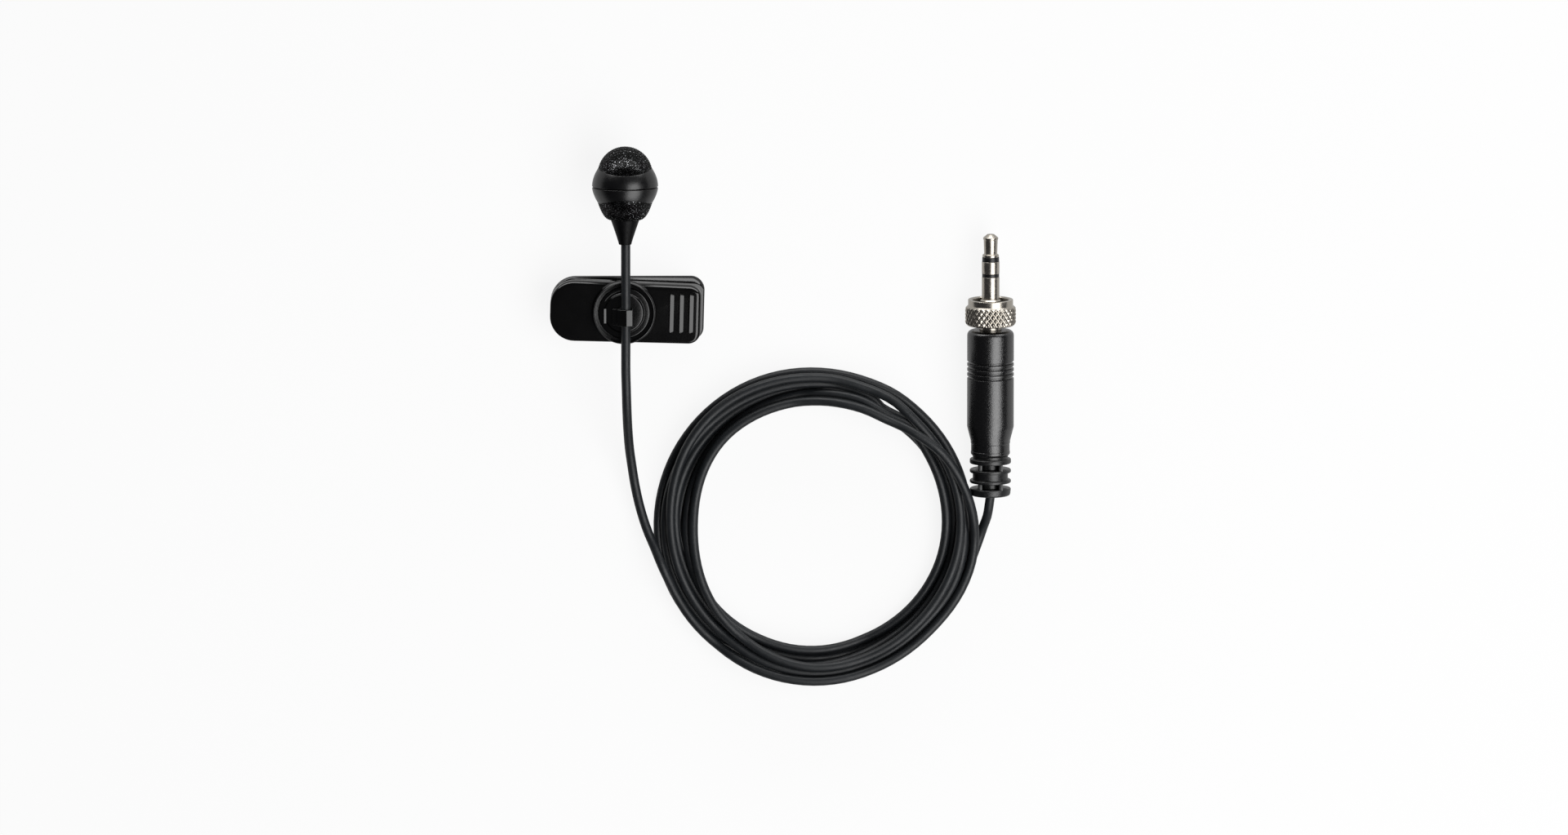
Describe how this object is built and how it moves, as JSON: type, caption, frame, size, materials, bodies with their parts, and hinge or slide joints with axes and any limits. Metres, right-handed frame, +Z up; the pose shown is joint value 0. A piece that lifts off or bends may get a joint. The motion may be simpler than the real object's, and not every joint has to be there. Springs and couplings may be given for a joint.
{
  "type": "lavalier microphone",
  "caption": "Clip-on microphone: round two-ring head on a thin lead through a swivelling clip, with a coiled lead and a locking jack plug.",
  "frame": {"origin": "on the surface that the microphone lies on, under the middle of the box round the head and the clip", "axes": "+Z up from that surface, +Y from the clip towards the head's front grille, +X towards the plug and along the clip to its finger end"},
  "size_m": [0.093, 0.1094, 0.017],
  "materials": {
    "grille_mesh": "fine woven wire mesh, painted black",
    "head_plastic": "satin moulded plastic",
    "soft_black": "matt moulded elastomer",
    "foam": "open-cell acoustic foam",
    "can_aluminium": "drawn",
    "gold_plate": "plated",
    "insulator_white": "moulded",
    "insulator_black": "moulded",
    "board_green": "lacquered board",
    "cord_jacket": "satin extruded jacket",
    "wire_cover": "extruded",
    "clip_plastic": "satin moulded plastic",
    "steel": "bright",
    "nickel": "nickel plated",
    "plug_plastic": "fine-grained moulded plastic"
  },
  "bodies": {
    "microphone": {"head_front_grille": "grille_mesh", "head_front_ring": "head_plastic", "head_rear_ring": "head_plastic", "head_rear_grille": "grille_mesh", "head_boot": "soft_black", "front_foam": "foam", "rear_foam": "foam", "capsule_can": "can_aluminium", "capsule_gasket": "soft_black", "diaphragm": "gold_plate", "backplate": "gold_plate", "insulator_cup": "insulator_white", "capsule_board": "board_green", "amplifier_chip": "insulator_black", "head_cable_end": "cord_jacket", "head_wires": "wire_cover", "cord_lead": "cord_jacket", "cord_coil": "cord_jacket", "cord_tail": "cord_jacket", "plug_tip": "nickel", "tip_insulator": "insulator_black", "ring_contact": "nickel", "ring_insulator": "insulator_black", "plug_sleeve": "nickel", "plug_body": "plug_plastic", "strain_relief": "soft_black", "solder_lugs": "gold_plate", "crimp_ring": "gold_plate", "plug_cable_end": "cord_jacket", "plug_wires": "wire_cover"},
    "holder": {"cable_hook": "clip_plastic", "swivel_disc": "clip_plastic", "swivel_rivet": "steel", "friction_washer": "steel"},
    "front_jaw": {"front_jaw": "clip_plastic", "hinge_pin": "steel", "jaw_spring": "steel"},
    "rear_jaw": {"rear_jaw": "clip_plastic"},
    "nut_carrier": {"nut_washer": "steel"},
    "nut": {"locking_nut": "nickel"}
  },
  "joints": [
    {"name": "holder_slide", "type": "slide", "parent": "microphone", "child": "holder", "axis": [0, 1, 0], "range_m": [-0.002, 0.002]},
    {"name": "clip_swivel", "type": "hinge", "parent": "holder", "child": "front_jaw", "pos_m": [-0.0004, -0.01335, 0.00856], "axis": [0, 0, 1], "continuous": true},
    {"name": "jaw_pivot", "type": "hinge", "parent": "front_jaw", "child": "rear_jaw", "pos_m": [0.0006, -0.01338, 0.00536], "axis": [-0.0262, -0.9997, 0], "range_deg": [0, 16], "stiffness_Nm_per_rad": 0.03, "springref_deg": -28.65, "deforming": ["jaw_spring"]},
    {"name": "nut_slide", "type": "slide", "parent": "microphone", "child": "nut_carrier", "axis": [0, 1, 0], "range_m": [-0.0008, 0]},
    {"name": "nut_spin", "type": "hinge", "parent": "nut_carrier", "child": "nut", "pos_m": [0.0724, -0.0165, 0.00505], "axis": [0, 1, 0], "continuous": true}
  ]
}
